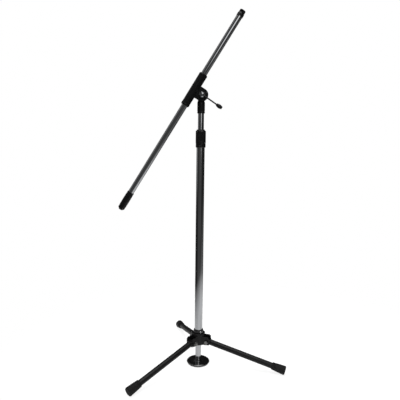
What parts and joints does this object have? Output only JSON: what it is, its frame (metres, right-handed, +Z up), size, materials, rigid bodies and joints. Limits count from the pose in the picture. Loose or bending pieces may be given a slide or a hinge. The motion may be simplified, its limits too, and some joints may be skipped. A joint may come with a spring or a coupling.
{
  "type": "boom microphone stand",
  "caption": "Black and chrome microphone stand: folding tripod with a round centre foot, telescopic column, and a boom that tilts, slides and turns in a swivel head with a clamp lever.",
  "frame": {"origin": "on the floor under the column's axis, at the centre of the round foot's underside", "axes": "+Z up along the column, +X towards the side that the boom's upper end leans to, -Y towards the clamp lever"},
  "size_m": [0.4623, 0.4223, 0.9639],
  "materials": {
    "chrome_plate": "bright chrome plate on steel",
    "black_powder_coat": "black powder coat on steel",
    "black_plastic": "moulded black plastic, satin",
    "black_rubber": "matt black rubber",
    "zinc_steel": "zinc-plated steel fasteners",
    "blackened_steel": "blackened steel",
    "friction_fibre": "brown friction fibre"
  },
  "bodies": {
    "stand_base": {"hub_body": "black_powder_coat", "hub_collar": "black_plastic", "hub_set_screw": "chrome_plate", "centre_rod": "chrome_plate", "round_foot": "black_powder_coat", "round_foot_screw": "zinc_steel", "round_foot_pad": "black_rubber", "main_tube": "chrome_plate", "clutch_body": "black_plastic", "leg_pivot_bolt_1": "zinc_steel", "leg_pivot_bolt_2": "zinc_steel", "leg_pivot_bolt_3": "zinc_steel", "leg_pivot_nut_1": "zinc_steel", "leg_pivot_nut_2": "zinc_steel", "leg_pivot_nut_3": "zinc_steel"},
    "leg_1": {"leg_root_1": "blackened_steel", "leg_tube_1": "black_powder_coat", "rubber_foot_1": "black_rubber"},
    "leg_2": {"leg_root_2": "blackened_steel", "leg_tube_2": "black_powder_coat", "rubber_foot_2": "black_rubber"},
    "leg_3": {"leg_root_3": "blackened_steel", "leg_tube_3": "black_powder_coat", "rubber_foot_3": "black_rubber"},
    "grip": {"clutch_grip": "black_plastic", "clutch_top_ring": "black_plastic"},
    "collet": {"clutch_collet": "black_plastic"},
    "column_head": {"extension_tube": "chrome_plate", "guide_bush": "black_plastic", "neck_socket": "black_powder_coat", "swivel_base": "black_powder_coat", "friction_washer": "friction_fibre", "swivel_bolt": "zinc_steel"},
    "holder": {"boom_holder": "black_powder_coat"},
    "lever": {"lever_washer": "zinc_steel", "lever_hub": "chrome_plate", "lever_rod": "blackened_steel", "lever_knob": "black_plastic"},
    "liner": {"sleeve_liner": "black_plastic"},
    "boom": {"boom_tube": "chrome_plate", "boom_weight": "black_powder_coat", "boom_end_cap": "black_plastic", "tip_ring": "black_plastic", "tip_thread": "blackened_steel"}
  },
  "joints": [
    {"name": "leg_fold_1", "type": "hinge", "parent": "stand_base", "child": "leg_1", "pos_m": [0.02466, -0.00647, 0.0681], "axis": [-0.2538, -0.9673, 0], "range_deg": [0, 104]},
    {"name": "leg_fold_2", "type": "hinge", "parent": "stand_base", "child": "leg_2", "pos_m": [-0.00673, 0.0246, 0.0681], "axis": [0.9646, 0.2639, 0], "range_deg": [0, 104]},
    {"name": "leg_fold_3", "type": "hinge", "parent": "stand_base", "child": "leg_3", "pos_m": [-0.01794, -0.01812, 0.0681], "axis": [-0.7108, 0.7034, 0], "range_deg": [0, 104]},
    {"name": "clutch_twist", "type": "hinge", "parent": "stand_base", "child": "grip", "pos_m": [0, 0, 0.6413], "axis": [0, 0, 1], "range_deg": [0, 180]},
    {"name": "column_turn", "type": "hinge", "parent": "stand_base", "child": "collet", "pos_m": [0, 0, 0.6413], "axis": [0, 0, 1], "continuous": true},
    {"name": "column_slide", "type": "slide", "parent": "collet", "child": "column_head", "axis": [0, 0, 1], "range_m": [-0.0396, 0.44]},
    {"name": "boom_tilt", "type": "hinge", "parent": "column_head", "child": "holder", "pos_m": [0.0018, 0, 0.748], "axis": [0, 1, 0], "range_deg": [-29, 146]},
    {"name": "lever_turn", "type": "hinge", "parent": "column_head", "child": "lever", "pos_m": [0.0018, 0, 0.748], "axis": [0, -1, 0], "range_deg": [0, 270]},
    {"name": "boom_roll", "type": "hinge", "parent": "holder", "child": "liner", "pos_m": [-0.01879, -0.0066, 0.76072], "axis": [0.5255, 0, 0.8508], "continuous": true},
    {"name": "boom_slide", "type": "slide", "parent": "liner", "child": "boom", "axis": [0.5255, 0, 0.8508], "range_m": [-0.167, 0.264]}
  ]
}
